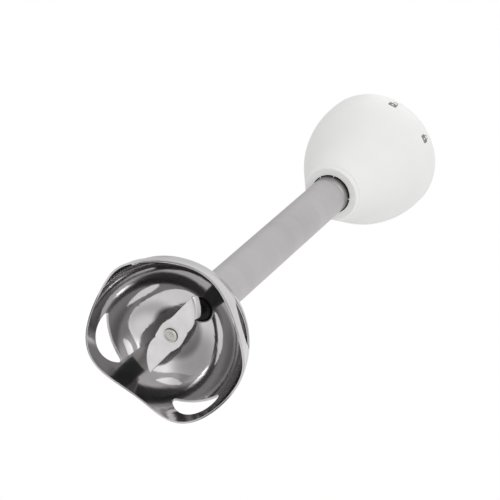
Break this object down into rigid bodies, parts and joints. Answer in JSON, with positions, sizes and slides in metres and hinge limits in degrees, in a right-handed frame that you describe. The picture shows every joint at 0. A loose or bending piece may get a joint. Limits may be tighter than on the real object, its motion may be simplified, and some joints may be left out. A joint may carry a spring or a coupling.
{
  "type": "immersion blender blending foot",
  "caption": "Detachable blending foot of an immersion blender: lobed steel bell with windows, steel tube, twist-lock coupling and a blade on a through shaft.",
  "frame": {"origin": "on the drive axis, level with the lowest points of the bell's four rim lobes", "axes": "+Z along the drive axis from the bell to the coupling; the rim lobes and windows lie on +X, +Y, -X and -Y"},
  "size_m": [0.069, 0.069, 0.224],
  "materials": {
    "polished_steel": "mirror polished stainless steel",
    "satin_steel": "fine satin, brushed round the tube",
    "white_plastic": "satin moulded plastic",
    "grey_plastic": "moulded plastic",
    "dark_plastic": "glass-filled moulded plastic",
    "black_plastic": "smooth moulded black acetal",
    "natural_plastic": "natural acetal",
    "black_rubber": "smooth moulded rubber",
    "sintered_bronze": "oil-filled sintered bronze",
    "plain_steel": "ground stainless steel",
    "spring_steel": "phosphated spring steel",
    "zinc_steel": "zinc-plated steel",
    "blade_steel": "satin stainless steel, edges ground",
    "rivet_steel": "turned stainless steel"
  },
  "bodies": {
    "foot": {"bell": "polished_steel", "shaft_tube": "satin_steel", "coupling_housing": "white_plastic", "bayonet_socket": "grey_plastic", "collar_gasket": "black_rubber", "tube_clamp": "dark_plastic", "clamp_screws": "zinc_steel", "socket_screws": "zinc_steel", "upper_bearing_carrier": "natural_plastic", "upper_bush": "sintered_bronze", "upper_washer": "plain_steel", "lower_bearing_carrier": "natural_plastic", "lower_bush": "sintered_bronze", "lower_washer": "plain_steel", "carrier_o_rings": "black_rubber", "seal_cup": "polished_steel", "shaft_seal": "black_rubber", "seal_spring": "spring_steel"},
    "drive": {"drive_shaft": "plain_steel", "drive_coupler": "dark_plastic", "coupler_pin": "plain_steel", "shaft_spacer": "black_plastic", "lower_clip": "spring_steel", "upper_clip": "spring_steel", "blade_hub": "plain_steel", "blade": "blade_steel", "blade_rivet": "rivet_steel"}
  },
  "joints": [
    {"name": "drive_spin", "type": "hinge", "parent": "foot", "child": "drive", "pos_m": [0, 0, 0.008], "axis": [0, 0, 1], "continuous": true}
  ]
}
